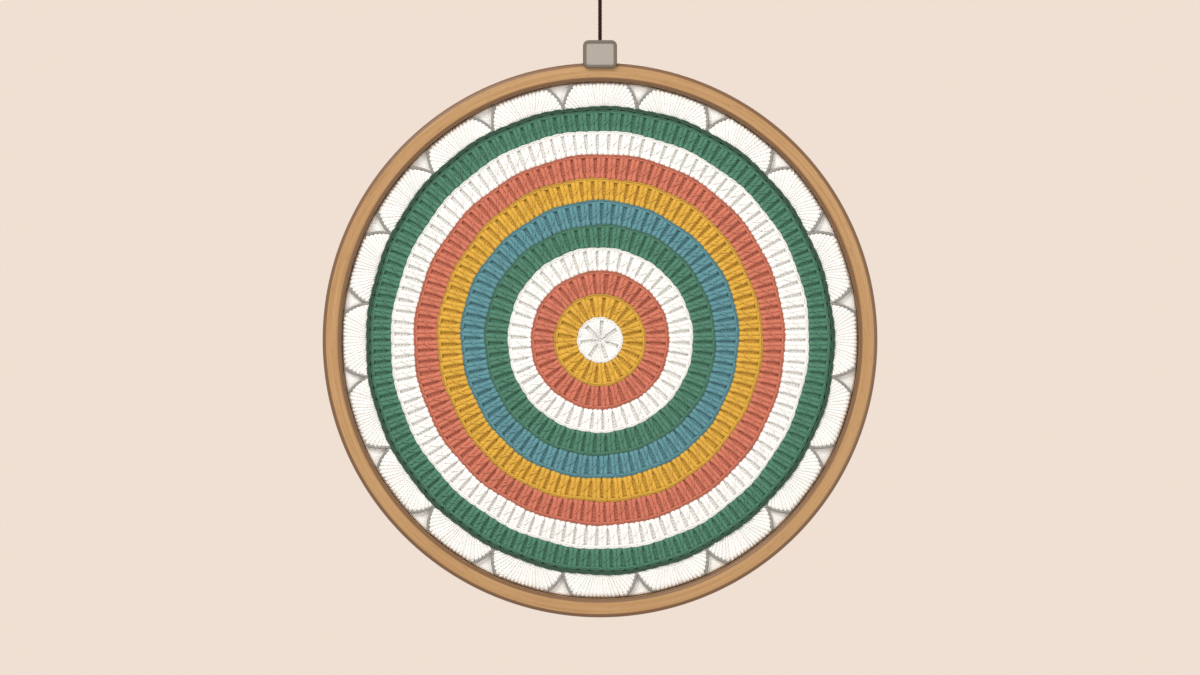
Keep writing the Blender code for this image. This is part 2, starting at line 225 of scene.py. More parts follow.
def strands(paths, radii, sides, shade, beside=FRONT, lobes=0.0, heights=None):
    """Closed round strands along many paths at once, with the points of each in the last two
    axes of paths. The section at a point is its centre + radius x cos a x side + height x sin a
    x face: side is the path's direction crossed with beside, face is side crossed with the
    direction, and the height is the radius where none is given. The first and last points are
    the closed tips. With lobes, three plies wind round the path, and the radius dips by that
    share between them, as the sine of half the ply angle does. v is the length along, in mm."""
    steps = paths.shape[-2]
    wide, tall = (np.broadcast_to(size, paths.shape[:-1]).reshape(-1, steps)[:, 1:-1, None, None]
                  for size in (radii, radii if heights is None else heights))
    paths = paths.reshape(-1, steps, 3)
    count, rings = len(paths), steps - 2
    ahead = np.gradient(paths, axis=1)
    ahead /= np.linalg.norm(ahead, axis=-1, keepdims=True)
    side = np.cross(ahead, beside)
    side /= np.linalg.norm(side, axis=-1, keepdims=True)
    face = np.cross(side, ahead)
    run = np.cumsum(np.linalg.norm(np.diff(paths, axis=1), axis=-1), axis=1) / MM
    run = np.concatenate([np.zeros((count, 1)), run], axis=1)
    a = math.tau * np.arange(sides) / sides
    dip = 1.0
    if lobes:
        wound = a - math.tau * run[:, 1:-1, None] / CORD_PITCH
        dip = (1 - lobes * (1 - np.abs(np.cos(1.5 * wound))))[..., None]
    offset = (wide * np.cos(a)[:, None] * side[:, 1:-1, None, :]
              + tall * np.sin(a)[:, None] * face[:, 1:-1, None, :]) * dip
    body = paths[:, 1:-1, None, :] + offset
    points = np.concatenate([paths[:, :1], body.reshape(count, -1, 3), paths[:, -1:]], axis=1)

    run = run + 7.0 * np.arange(count)[:, None]     # so that the plies of neighbours don't match
    base = (np.arange(count) * (rings * sides + 2))[:, None, None]
    p = np.arange(rings - 1)[None, :, None]
    k = np.arange(sides)[None, None, :]
    after = (k + 1) % sides
    here, there = base + 1 + p * sides, base + 1 + (p + 1) * sides
    quads = np.stack([here + k, there + k, there + after, here + after], axis=-1)
    whole = np.zeros(quads.shape[:3])
    u = [whole + (k + step) / sides for step in (0, 0, 1, 1)]
    v = [whole + run[:, p[0, :, 0] + step, None] for step in (1, 2, 2, 1)]
    quad_uv = np.stack([np.stack(u, -1), np.stack(v, -1)], -1)
    edge = base[:, :, 0] + 1 + np.arange(sides)
    edge_after = base[:, :, 0] + 1 + (np.arange(sides) + 1) % sides
    far = (rings - 1) * sides
    tip_faces, tip_uv = [], []
    for tip, first, second, place_in in ((0, edge, edge_after, 0),
                                         (1 + rings * sides, edge_after + far, edge + far, -1)):
        corners = np.stack([base[:, :, 0] + tip + 0 * edge, first, second], -1)
        tip_faces.append(corners.reshape(-1, 3))
        level = run[:, place_in, None, None] + 0.0 * corners
        tip_uv.append(np.stack([0.0 * corners + k[0, 0, :, None] / sides, level], -1))
    faces = [(quads.reshape(-1, 4), quad_uv.reshape(-1, 4, 2), np.zeros(whole.size, int)),
             (np.concatenate(tip_faces), np.concatenate(tip_uv).reshape(-1, 3, 2),
              np.zeros(2 * count * sides, int))]
    flat = points.reshape(-1, 3)
    return Shape(flat, facing_out(flat, faces), {"shade": np.repeat(shade, rings * sides + 2)})


def build_mesh(name, shapes):
    """One mesh of all the shapes, with the map "along" and the shapes' values."""
    points = np.concatenate([s.points for s in shapes])
    corners, starts, uvs, finishes = [], [], [], []
    offset = total = 0
    for shape in shapes:
        for faces, uv, finish in shape.faces:
            corners.append((faces + offset).ravel())
            starts.append(total + np.arange(len(faces)) * faces.shape[1])
            uvs.append(uv.reshape(-1, 2))
            finishes.append(finish)
            total += faces.size
        offset += len(shape.points)
    mesh = bpy.data.meshes.new(name)
    mesh.vertices.add(len(points))
    mesh.vertices.foreach_set("co", points.ravel())
    mesh.loops.add(total)
    mesh.loops.foreach_set("vertex_index", np.concatenate(corners).astype(np.int32))
    starts = np.concatenate(starts).astype(np.int32)
    mesh.polygons.add(len(starts))
    mesh.polygons.foreach_set("loop_start", starts)
    mesh.polygons.foreach_set("material_index", np.concatenate(finishes).astype(np.int32))
    mesh.uv_layers.new(name="along")
    mesh.uv_layers["along"].data.foreach_set("uv", np.concatenate(uvs).ravel())
    for value in shapes[0].values:
        layer = mesh.attributes.new(value, "FLOAT", "POINT")
        levels = np.concatenate([s.values[value] for s in shapes])
        layer.data.foreach_set("value", levels)
    mesh.update(calc_edges=True)
    mesh.validate()
    mesh.shade_smooth()
    return mesh


def add_piece(name, mesh, finishes, slot, *nodes):
    """A finished piece that stands for nodes of the frame and moves with them."""
    for finish in finishes:
        mesh.materials.append(finish)
    made = bpy.data.objects.new(name, mesh)
    bpy.context.scene.collection.objects.link(made)
    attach(made, "root")
    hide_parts(*nodes)
    return made


def add_node(tree, kind, inputs=None, **settings):
    """Adds one shader node. inputs holds, for each socket, its value, the socket that feeds it,
    or a node whose first output does."""
    made = tree.nodes.new("ShaderNode" + kind)
    for name, value in settings.items():
        setattr(made, name, value)
    for name, value in (inputs or {}).items():
        if isinstance(value, bpy.types.Node):
            value = value.outputs[0]
        if isinstance(value, bpy.types.NodeSocket):
            tree.links.new(value, made.inputs[name])
        else:
            made.inputs[name].default_value = value
    return made


def new_finish(name, constants):
    """A material and its Principled shader, with the constants set on its own sockets."""
    made = bpy.data.materials.new(name)
    made.use_nodes = True
    shader = made.node_tree.nodes["Principled BSDF"]
    for socket, value in constants.items():
        shader.inputs[socket].default_value = value
    return made, made.node_tree, shader


def dress(tree, shader, colour, level, height, strength, depth):
    """Feeds the shader's colour, times a level, and its normal from a height."""
    tone = add_node(tree, "VectorMath", {0: colour, "Scale": level}, operation="SCALE")
    tree.links.new(tone.outputs[0], shader.inputs["Base Color"])
    bump = add_node(tree, "Bump", {"Strength": strength, "Distance": depth, "Height": height})
    tree.links.new(bump.outputs[0], shader.inputs["Normal"])


# Camera and studio

VIEW_LENS = 135.0
VIEW_DISTANCE = 2.52
VIEW_RAISE = 1.4 * MM       # the hoop's centre lies a little below the picture's middle
FLOOR_DROP = 1.6
FLOOR_R = 6.0
WALL_TOP = 9.0
WALL_CURVE = 1.5
STUDIO_PAINT = 0.3          # share of the light that the studio's walls and floor give back,
STUDIO_GLOW = 0.73          # and how bright their own lamps make them
ROOM_LIGHT = (1.0, 0.985, 0.97, 1.0)
ROOM_STRENGTH = 0.80
LIGHTS = (          # name, spot from the hoop's centre, size, power
    ("key", (-0.9, -1.6, 1.5), 0.9, 32.0),
    ("fill", (1.5, -1.6, -0.2), 1.2, 10.0),
    ("behind", (0.3, 2.4, 1.5), 1.2, 24.0),
)


def add_camera():
    data = bpy.data.cameras.new("camera")
    data.lens = VIEW_LENS
    camera = bpy.data.objects.new("camera", data)
    camera.location = (CENTRE[0], -VIEW_DISTANCE, CENTRE[2] + VIEW_RAISE)
    camera.rotation_euler = (math.radians(90), 0.0, 0.0)
    bpy.context.scene.collection.objects.link(camera)
    bpy.context.scene.camera = camera


def add_light(name, spot, size, power):
    """A soft square light that shines at the hoop's centre from a spot given from there."""
    data = bpy.data.lights.new(name, "AREA")
    data.size = size
    data.energy = power
    light = bpy.data.objects.new(name, data)
    towards = np.array(spot)
    light.location = CENTRE + towards
    tilt = math.atan2(math.hypot(towards[0], towards[1]), towards[2])
    light.rotation_euler = (tilt, 0.0, math.atan2(towards[0], -towards[1]))
    light.visible_camera = False
    bpy.context.scene.collection.objects.link(light)


def add_studio():
    """A pale bowl: a flat floor that curves up into a wall all round, far from the object.
    Its profile is a straight line, a quarter circle and a straight line, turned once."""
    rows = 96
    bend = np.radians(np.linspace(0, 90, 10))
    radius = np.concatenate([[MM], FLOOR_R - WALL_CURVE * (1 - np.sin(bend)), [FLOOR_R]])
    height = np.concatenate([[0.0], WALL_CURVE * (1 - np.cos(bend)), [WALL_TOP]])
    turn = np.linspace(0, math.tau, rows + 1)[:-1, None]
    points = np.stack(np.broadcast_arrays(CENTRE[0] + radius * np.cos(turn),
                                          radius * np.sin(turn),
                                          CENTRE[2] - FLOOR_DROP + height), axis=-1)
    columns = len(radius)
    i, j = np.meshgrid(np.arange(rows), np.arange(columns - 1), indexing="ij")
    after = (i + 1) % rows
    quads = np.stack([i * columns + j, i * columns + j + 1, after * columns + j + 1,
                      after * columns + j], -1)
    mesh = bpy.data.meshes.new("studio")
    mesh.from_pydata(points.reshape(-1, 3).tolist(), [], quads.reshape(-1, 4).tolist())
    mesh.shade_smooth()
    finish, tree, shader = new_finish("matt studio paint", {
        "Base Color": [STUDIO_PAINT * part for part in linear("studio")], "Roughness": 0.9,
        "Emission Color": linear("studio"), "Emission Strength": STUDIO_GLOW})
    mesh.materials.append(finish)
    studio = bpy.data.objects.new("studio", mesh)
    studio.visible_shadow = False
    studio.visible_diffuse = False
    studio.visible_glossy = False
    bpy.context.scene.collection.objects.link(studio)

    world = bpy.data.worlds.new("soft room light")
    world.use_nodes = True
    light = world.node_tree.nodes["Background"]
    light.inputs["Color"].default_value = ROOM_LIGHT
    light.inputs["Strength"].default_value = ROOM_STRENGTH
    bpy.context.scene.world = world
    bpy.context.scene.view_settings.view_transform = "Standard"
    for name, spot, size, power in LIGHTS:
        add_light(name, spot, size, power)


# Materials

PLY_PITCH = 7.0     # mm in which a ply winds once round its yarn
PLIES = 4
# Painted shade: the yarn is darker in the grooves between its plies and lighter on their crests.
YARN_TONE = 0.825           # the yarn's tone in a groove between plies, and what is added
PLY_PAINTED_SHADE = 0.15             # on a ply,
FIBRE_TONE = 0.14           # on a fibre
STRAND_TONE = 0.04          # and on each strand, times its shade


def wound_plies(tree, plies, pitch):
    """The height of plies that wind round a yarn: half a cosine of the number of plies times
    (the way round + the way along over the pitch), lifted to lie between 0 and 1."""
    along = add_node(tree, "UVMap", uv_map="along")
    parts = add_node(tree, "SeparateXYZ", {0: along.outputs["UV"]})
    wound = add_node(tree, "Math", {0: parts.outputs["Y"], 1: 1 / pitch, 2: parts.outputs["X"]},
                     operation="MULTIPLY_ADD")
    angle = add_node(tree, "Math", {0: wound, 1: math.tau * plies}, operation="MULTIPLY")
    wave = add_node(tree, "Math", {0: angle}, operation="COSINE")
    return add_node(tree, "Math", {0: wave, 1: 0.5, 2: 0.5}, operation="MULTIPLY_ADD")


def fibres(tree, size):
    """Cloudy noise of that size, in metres, on the object's own coordinates."""
    spot = add_node(tree, "TexCoord")
    cloud = add_node(tree, "TexNoise", {"Vector": spot.outputs["Object"], "Scale": 1 / size,
                                        "Detail": 3.0})
    return cloud.outputs["Fac"]


def yarn(name, colour):
    """Mercerised cotton yarn, plied: matt, with round plies that wind round it and painted shade
    in the grooves between them, fine fibres, and a slight sheen of loose fibre at its edges."""
    made, tree, shader = new_finish(name, {"Roughness": 0.85, "Specular IOR Level": 0.3,
                                           "Sheen Weight": 0.08, "Sheen Roughness": 0.5})
    ply = wound_plies(tree, PLIES, PLY_PITCH)
    fibre = fibres(tree, 0.9 * MM)
    relief = add_node(tree, "Math", {0: fibre, 1: 0.5, 2: ply}, operation="MULTIPLY_ADD")
    tint = add_node(tree, "Attribute", attribute_name="shade")
    level = add_node(tree, "Math", {0: tint.outputs["Fac"], 1: STRAND_TONE, 2: YARN_TONE},
                     operation="MULTIPLY_ADD")
    groove = add_node(tree, "Math", {0: ply, 1: PLY_PAINTED_SHADE, 2: level}, operation="MULTIPLY_ADD")
    light = add_node(tree, "Math", {0: fibre, 1: FIBRE_TONE, 2: groove},
                     operation="MULTIPLY_ADD")
    dress(tree, shader, linear(colour)[:3], light, relief, strength=0.8,
          depth=0.3 * MM)
    return made


BACK_LOOP = 1.9     # mm between the back loops that show in the gaps
# Painted shade: the yarn seen deep in the gaps between the stitches is darkened to these shares
# of its colour.
DEPTH_SHADE = {"white": 0.69, "mustard": 0.75, "terracotta": 0.78, "green": 0.90,
               "blue": 0.81, "edging": 0.7}     # how bright the yarn of each colour is there


def shaded_gap_yarn(name, colour):
    """The same yarn where its back loops lie deep between the stitches, darkened by DEPTH_SHADE
    as
    painted shade: matt, felted by fine fibres, with low ridges that run round the mandala, half a
    cosine of the radius, painted lighter on their crests."""
    made, tree, shader = new_finish(name, {"Roughness": 0.95, "Specular IOR Level": 0.2})
    along = add_node(tree, "UVMap", uv_map="along")
    parts = add_node(tree, "SeparateXYZ", {0: along.outputs["UV"]})
    turn = add_node(tree, "Math", {0: parts.outputs["Y"], 1: math.tau / BACK_LOOP},
                    operation="MULTIPLY")
    wave = add_node(tree, "Math", {0: turn}, operation="COSINE")
    fibre = fibres(tree, 1.1 * MM)
    height = add_node(tree, "Math", {0: wave, 1: 0.5, 2: fibre}, operation="MULTIPLY_ADD")
    # painted shade: darker below the ridges, lighter on their crests
    level = add_node(tree, "Math", {0: height, 1: 0.15, 2: DEPTH_SHADE[colour]},
                     operation="MULTIPLY_ADD")
    dress(tree, shader, linear(colour)[:3], level, height, strength=0.7,
          depth=0.4 * MM)
    return made


CORD_PITCH = 6.5    # mm in which a strand winds once round the cord


def twisted_cord():
    """Waxed cotton cord of three twisted strands: dark, with a low gloss from the wax and fine
    threads that slant across each strand, with painted shade between the threads."""
    made, tree, shader = new_finish("waxed cotton cord", {"Roughness": 0.75,
                                                          "Specular IOR Level": 0.15})
    thread = wound_plies(tree, 9, -2 * CORD_PITCH)
    fibre = fibres(tree, 0.5 * MM)
    # Painted shade: the colour follows the threads' height, darker between them.
    level = add_node(tree, "Math", {0: thread, 1: 0.35, 2: fibre}, operation="MULTIPLY_ADD")
    dress(tree, shader, linear("cord")[:3], level, level, strength=0.6, depth=0.15 * MM)
    return made


THREAD = 0.8        # mm; the real threads are half that, and would not show


def woven_cotton():
    """Plain woven cotton, bleached: matt, with threads that pass over and under each other. The
    height is the sine's size along the warp or the weft, whichever lies on top in that square."""
    made, tree, shader = new_finish("plain woven cotton", {"Roughness": 0.9,
                                                           "Sheen Weight": 0.1})
    spot = add_node(tree, "TexCoord")
    parts = add_node(tree, "SeparateXYZ", {0: spot.outputs["Object"]})
    waves = []
    for axis in ("X", "Z"):
        turn = add_node(tree, "Math", {0: parts.outputs[axis], 1: math.pi / (THREAD * MM)},
                        operation="MULTIPLY")
        waves.append(add_node(tree, "Math", {0: turn}, operation="SINE"))
    sizes = [add_node(tree, "Math", {0: wave}, operation="ABSOLUTE") for wave in waves]
    product = add_node(tree, "Math", {0: waves[0], 1: waves[1]}, operation="MULTIPLY")
    square = add_node(tree, "Math", {0: product, 1: 0.0}, operation="GREATER_THAN")
    height = add_node(tree, "Mix", {0: square, 2: sizes[0], 3: sizes[1]})
    # Painted shade: the cotton is darker where its threads lie low, between the threads on top.
    level = add_node(tree, "Math", {0: height, 1: 0.12, 2: 0.92}, operation="MULTIPLY_ADD")
    dress(tree, shader, linear("cotton")[:3], level, height, strength=0.6, depth=0.2 * MM)
    return made


STREAK = (55.0, 1.1)    # mm along and across the grain
FLECK = (4.5, 0.55)     # beech's flecks, half as large again as real, so that they show


def grain_noise(tree, size, detail):
    """Noise stretched along the grain, which runs round the ring."""
    long, wide = size
    parts = [add_node(tree, "Attribute", attribute_name="grain_" + axis).outputs["Fac"]
             for axis in "xyz"]
    joined = add_node(tree, "CombineXYZ", {0: parts[0], 1: parts[1], 2: parts[2]})
    scaled = add_node(tree, "Mapping", {"Vector": joined,
                                        "Scale": (1 / long, 1 / long, 1 / wide)})
    noise = add_node(tree, "TexNoise", {"Vector": scaled, "Scale": 1.0, "Detail": detail})
    return noise.outputs["Fac"]


def beech(name, gloss):
    """Steamed beech, bent with the grain round the ring, sanded: warm pinkish brown, soft long
    streaks, short dark flecks, and rounded edges coloured a darker brown."""
    made, tree, shader = new_finish(name, gloss)
    streak = grain_noise(tree, STREAK, 4.0)
    fleck = grain_noise(tree, FLECK, 1.0)
    soft = add_node(tree, "MapRange", {"Value": streak, "From Min": 0.35, "From Max": 0.68})
    mixed = add_node(tree, "MixRGB", {0: soft, 1: linear("beech"), 2: linear("beech streak")})
    spotted = add_node(tree, "MapRange", {"Value": fleck, "From Min": 0.62, "From Max": 0.70,
                                          "To Min": 1.0, "To Max": 0.82})
    toned = add_node(tree, "VectorMath", {0: mixed, "Scale": spotted}, operation="SCALE")
    dark = add_node(tree, "Attribute", attribute_name="dark")
    arris = add_node(tree, "MixRGB", {0: dark.outputs["Fac"], 1: toned,
                                      2: linear("beech arris")})
    dress(tree, shader, arris, 1.0, streak, strength=0.35, depth=0.12 * MM)
    return made


RIM_WIDE = 1.8 * MM
CLIP_CORNER = 3.1 * MM


def cast_zinc():
    """Zinc alloy, cast and plated a dull grey: a metal with a satin gloss and the slight grain
    of the mould. It is coloured darker everywhere but on the sunk front. How deep a point lies
    inside the rounded outline is the corner's radius less its distance from the rectangle that
    the corners' centres span, and the sunk front is what lies deeper than the rim is wide."""
    made, tree, shader = new_finish("cast zinc, satin plated", {"Roughness": 0.58,
                                                                "Metallic": 0.55})
    middle = (CLIP_LOW + CLIP_HIGH) / 2
    half = (CLIP_HIGH - CLIP_LOW) / 2 - CLIP_CORNER
    spot = add_node(tree, "TexCoord")
    moved = add_node(tree, "VectorMath", {0: spot.outputs["Object"], 1: tuple(middle)},
                     operation="SUBTRACT")
    size = add_node(tree, "VectorMath", {0: moved}, operation="ABSOLUTE")
    past = add_node(tree, "VectorMath", {0: size, 1: (half[0], 1.0, half[2])},
                    operation="SUBTRACT")
    side = add_node(tree, "SeparateXYZ", {0: moved})
    kept = add_node(tree, "VectorMath", {0: past, 1: (0.0, 0.0, 0.0)}, operation="MAXIMUM")
    away = add_node(tree, "VectorMath", {0: kept}, operation="LENGTH")
    rim = add_node(tree, "MapRange", {"Value": away.outputs["Value"],
                                      "From Min": CLIP_CORNER - RIM_WIDE - 0.1 * MM,
                                      "From Max": CLIP_CORNER - RIM_WIDE + 0.1 * MM})
    behind = add_node(tree, "Math", {0: side.outputs["Y"], 1: 0.0}, operation="GREATER_THAN")
    dark = add_node(tree, "Math", {0: rim, 1: behind}, operation="MAXIMUM")
    grain = fibres(tree, 0.7 * MM)
    tone = add_node(tree, "MixRGB", {0: dark, 1: linear("zinc"), 2: linear("zinc rim")})
    level = add_node(tree, "Math", {0: grain, 1: 0.16, 2: 0.92}, operation="MULTIPLY_ADD")
    dress(tree, shader, tone, level, grain, strength=0.25, depth=0.05 * MM)
    return made


# Hoop and ground cloth

RING_ROWS = 288


def rounded_profile(inside, outside, back, front, radius, steps):
    """A rectangle's outline as (radius, front) points, each corner a quarter circle of points
    at the corner's centre + radius x (cos b, sin b)."""
    bend = np.radians(np.linspace(0, 90, steps))
    corners = []
    for k, (r, f) in enumerate(((outside, front), (inside, front), (inside, back),
                                (outside, back))):
        middle_r = r - radius if k in (0, 3) else r + radius
        middle_f = f - radius if k in (0, 1) else f + radius
        b = bend + k * math.pi / 2
        corners.append(np.stack([middle_r + radius * np.cos(b),
                                 middle_f + radius * np.sin(b)], -1))
    return np.concatenate(corners)


CORNER_STEPS = 11


def make_outer_ring():
    """The ring that shows in front. Its rounded edges are dark but for their first and last
    step."""
    profile = rounded_profile(HOOP_R - HOOP_BAND, HOOP_R, -HOOP_HIGH[1], -HOOP_LOW[1],
                              HOOP_ROUND, CORNER_STEPS)
    dark = np.ones((4, CORNER_STEPS))
    dark[:, (0, -1)] = 0.0
    mesh = build_mesh("outer_ring", [turned(profile, RING_ROWS, dark=dark.ravel())])
    finish = beech("waxed beech", {"Roughness": 0.45, "Coat Weight": 0.12,
                                   "Coat Roughness": 0.35})
    return add_piece("hoop_outer_ring", mesh, [finish], "beech_waxed", "outer_ring")


def make_inner_ring():
    profile = rounded_profile(INNER_R - INNER_BAND, INNER_R, -INNER_HIGH[1], -INNER_LOW[1],
                              INNER_ROUND, CORNER_STEPS // 2)
    mesh = build_mesh("inner_ring", [turned(profile, RING_ROWS)])
    finish = beech("plain sanded beech", {"Roughness": 0.6})
    return add_piece("hoop_inner_ring", mesh, [finish], "beech_plain", "inner_ring")


def make_ground_cloth():
    """A disc whose edge bends down through a quarter circle into a straight hem. Its thickness
    is the difference between the two quarter circles' radii."""
    middle_r, middle_f = CLOTH_R - CLOTH_BEND, CLOTH_FRONT - CLOTH_BEND
    bend = np.radians(np.linspace(90, 0, 7))
    spread = np.linspace(0, 1, 13)[:-1] * middle_r

    def skin(radius, tight):
        curve = np.stack([middle_r + tight * np.cos(bend), middle_f + tight * np.sin(bend)], -1)
        flat = np.stack([spread, np.full(len(spread), middle_f + tight)], -1)
        return np.concatenate([flat, curve, [(radius, CLOTH_HEM)]])

    outer = skin(CLOTH_R, CLOTH_BEND)
    inner = skin(CLOTH_R - CLOTH_THICK, CLOTH_BEND - CLOTH_THICK)
    mesh = build_mesh("ground_cloth", [turned(np.concatenate([outer, inner[::-1]]), RING_ROWS,
                                              closed=False)])
    made = add_piece("stretched_cloth", mesh, [woven_cotton()], "ground_cotton", "ground_cloth")
    return made


# Clip, cord, knot and loop

CLIP_EDGE = 0.22 * MM       # width of its rounded edges
SAME_PLACE = 0.002 * MM
CORD_D = 2.2 * MM
CORD_SIDES = 24
CORD_DIP = 0.17             # how deep the dip between two strands is, as a share of the radius
CORD_STEPS, KNOT_STEPS, LOOP_STEPS = 60, 110, 141
CORD_START = 164.6 * MM     # in the clip's hole
CORD_END = 200.3 * MM
KNOT_TURNS = 2.4
KNOT_TAIL = 0.14            # share of those turns, past each end, in which the helix shrinks
KNOT_CORE = 0.12            # to this share of its radius
LOOP_FOOT = 207.5 * MM
LOOP_TALL = 26.0 * MM
LOOP_SPREAD = 9.0 * MM
LOOP_GAP = 0.3 * MM
TUCK = 0.8 * MM             # how far the cord goes on inside the knot
LEG_TUCK = 3.2 * MM         # the same for the loop's two legs, and how near its axis they end
LEG_NEAR = 0.5 * MM


def add_clip():
    """The clip's own solid, with its edges rounded. The normal at a point is the mean of its
    faces' normals, weighted by their areas, so that the flat faces look flat."""
    source = next(o for o in bpy.data.objects if o.type == "MESH" and o.name == "hanger_clip")
    shape = bmesh.new()
    shape.from_mesh(source.data)
    bmesh.ops.remove_doubles(shape, verts=shape.verts, dist=SAME_PLACE)
    bmesh.ops.dissolve_limit(shape, angle_limit=math.radians(1), verts=shape.verts,
                             edges=shape.edges)
    sharp = [e for e in shape.edges if e.calc_face_angle(0) > math.radians(25)]
    bmesh.ops.bevel(shape, geom=sharp, offset=CLIP_EDGE, segments=2, profile=0.5,
                    affect="EDGES", clamp_overlap=True)
    mesh = bpy.data.meshes.new("clip")
    shape.to_mesh(mesh)
    shape.free()
    mesh.shade_smooth()
    normals = np.zeros((len(mesh.vertices), 3))
    for face in mesh.polygons:
        normals[list(face.vertices)] += face.area * np.array(face.normal)
    normals /= np.linalg.norm(normals, axis=1, keepdims=True)
    mesh.normals_split_custom_set_from_vertices(normals)
    return add_piece("hanger_clip_cast", mesh, [cast_zinc()], "clip_zinc", "hanger_clip")


def tube(name, path, finish, node, beside=FRONT):
    """A three-ply cord along a path, with tapered tips at both ends."""
    shape = strands(path, CORD_D / 2, CORD_SIDES, [0.0], beside, lobes=CORD_DIP)
    return add_piece(name, build_mesh(name, [shape]), [finish], "cord_brown", node)


def make_cord():
    """The cord rises straight to the knot. The knot is the cord wound round itself: a helix whose
    radius is the cord's diameter and shrinks to almost nothing over its first and last third of
    a turn. The loop is a drop: its width swells with the sine of a full turn, held back
    near the knot by the squared sine of a half turn, while its height rises and falls once."""
    finish = twisted_cord()
    rise = np.linspace(CORD_START, CORD_END + TUCK, CORD_STEPS)
    straight = place(0.0, rise, 0.0)
    cord = tube("hanging_cord", straight, finish, "hang_cord")

    low, high = KNOT_LOW[2] - CENTRE[2] + CORD_D / 2, KNOT_HIGH[2] - CENTRE[2] - CORD_D / 2
    share = np.linspace(-KNOT_TAIL, 1 + KNOT_TAIL, KNOT_STEPS)
    round_it = math.tau * KNOT_TURNS * share
    shrunk = soft_step(np.maximum(-share, share - 1) / KNOT_TAIL)
    radius = CORD_D * (1 - (1 - KNOT_CORE) * shrunk)
    up = low + (high - low) * np.clip(share, 0, 1)
    helix = place(radius * np.cos(round_it), up, radius * np.sin(round_it))
    knot = tube("hanging_knot", helix, finish, "hang_knot", beside=UP)

    share = np.linspace(0, 1, LOOP_STEPS)
    swell = np.sin(math.tau * share) * np.sin(math.pi * share) ** 2
    across = -(CORD_D + LOOP_GAP) / 2 * np.cos(math.pi * share) - LOOP_SPREAD * swell
    height = LOOP_FOOT + LOOP_TALL * (1 - np.cos(math.tau * share)) / 2
    drop = place(across, height, 0.0)
    down = np.linspace(1, 0, 6)[:-1, None]
    foot = place(-LEG_NEAR, LOOP_FOOT - LEG_TUCK, 0.0)
    legs = drop[0] + (foot - drop[0]) * down
    other = legs[::-1] * (-1, 1, 1) + (2 * CENTRE[0], 0, 0)
    loop = tube("hanging_loop", np.concatenate([legs, drop, other]), finish, "hang_loop")
    tuple(place(0.0, CLIP_TOP, 0.0))


# Crochet

def yarn_piece(name, shapes, yarns, colour):
    """A piece of the mandala, of one yarn."""
    return add_piece(name, build_mesh(name, shapes), [yarns[colour]], "yarn_" + colour,
                     "mandala")


LEG_POINTS = 11
WRAP_POINTS = 8
YARN_SIDES = 6
OVERLAP = 1.12              # how much wider a leg is than its share of the stitch
LEG_FLAT = 0.8              # a leg's height over its width
MOST_GAP = 0.34             # a gap's largest share of a stitch
GAP_FOOT = 0.15             # share of a stitch's height where its gap begins to open,
GAP_OPENS = 0.10            # and in which it opens, and closes again below the top
UNEVEN = 0.025              # how far a stitch strays to a side, as a share of its width,
UNEVEN_TOP = 0.15 * MM      # how far its top does, and how far its legs do to the front,
UNEVEN_FRONT = 0.1 * MM
LEAN = 0.4                  # and how far it leans, in gaps
FOOT_DIVE = 0.45 * MM       # how deep its foot goes into the round below
LEG_END = 0.14              # share of its height in which a leg dives at either end
WRAP_HALF = 0.62 * MM       # half a wrap's width and height
WRAP_TALL = 0.5 * MM
WRAP_FOOT = 0.26            # share of a stitch's height where its wrap starts, how far that
WRAP_STRAY = 0.05           # strays, and the share that the wrap rises
WRAP_RISE = 0.52
WRAP_TURN = math.radians(80)
WRAP_REACH = 0.46           # share of the width that it lies across
WRAP_FRONT = 0.05 * MM      # how far its middle lies in front of the legs
STITCH_FRONT = MANDALA_BACK + 1.5 * MM

# A kind of stitch: its legs and wraps, the widest gap beside it, the most that a leg rises
# either side of its middle line, and how far its top end dips
Stitch = namedtuple("Stitch", "legs wraps gap tall dip")
CENTRE_STITCH = Stitch(legs=4, wraps=0, gap=GAP, tall=1.0 * MM, dip=0.3 * MM)
ROUND_STITCH = Stitch(legs=2, wraps=1, gap=GAP, tall=1.0 * MM, dip=0.3 * MM)
SHELL_STITCH = Stitch(legs=1, wraps=0, gap=0.0, tall=0.75 * MM, dip=0.8 * MM)
CHAIN_POINTS = 9
LINK_R = 0.63 * MM
LINK_HALF = 0.52 * MM
LINK_EARLY = 0.2            # how much before its place a link starts, and its length, in links
LINK_LONG = 1.3
LINK_ENDS = 0.18            # share of its bulge that its legs keep at their ends
LINK_DIP = 0.55             # how far its ends rise and dive, in yarn radii
CHAIN_WIDE = 2 * (LINK_R + LINK_HALF)
CHAIN_FRONT = MANDALA_BACK + 1.8 * MM
# Painted shade: a chain's outer legs are darkened where the next round meets them.
OUTER_LEG_SHADE = -6.0                 # shade of a chain's outer legs, pressed into the next round
WHITE_OUTER_LEG_SHADE = -3.0
EDGING_FRONT = CHAIN_FRONT + 0.5 * MM
EDGING_SPREAD = 0.55 * MM
EDGING_YARN = 0.62 * MM


def soft_step(x):
    """0 below 0, 1 above 1, and 3x^2 - 2x^3 between."""
    x = np.clip(x, 0, 1)
    return x * x * (3 - 2 * x)


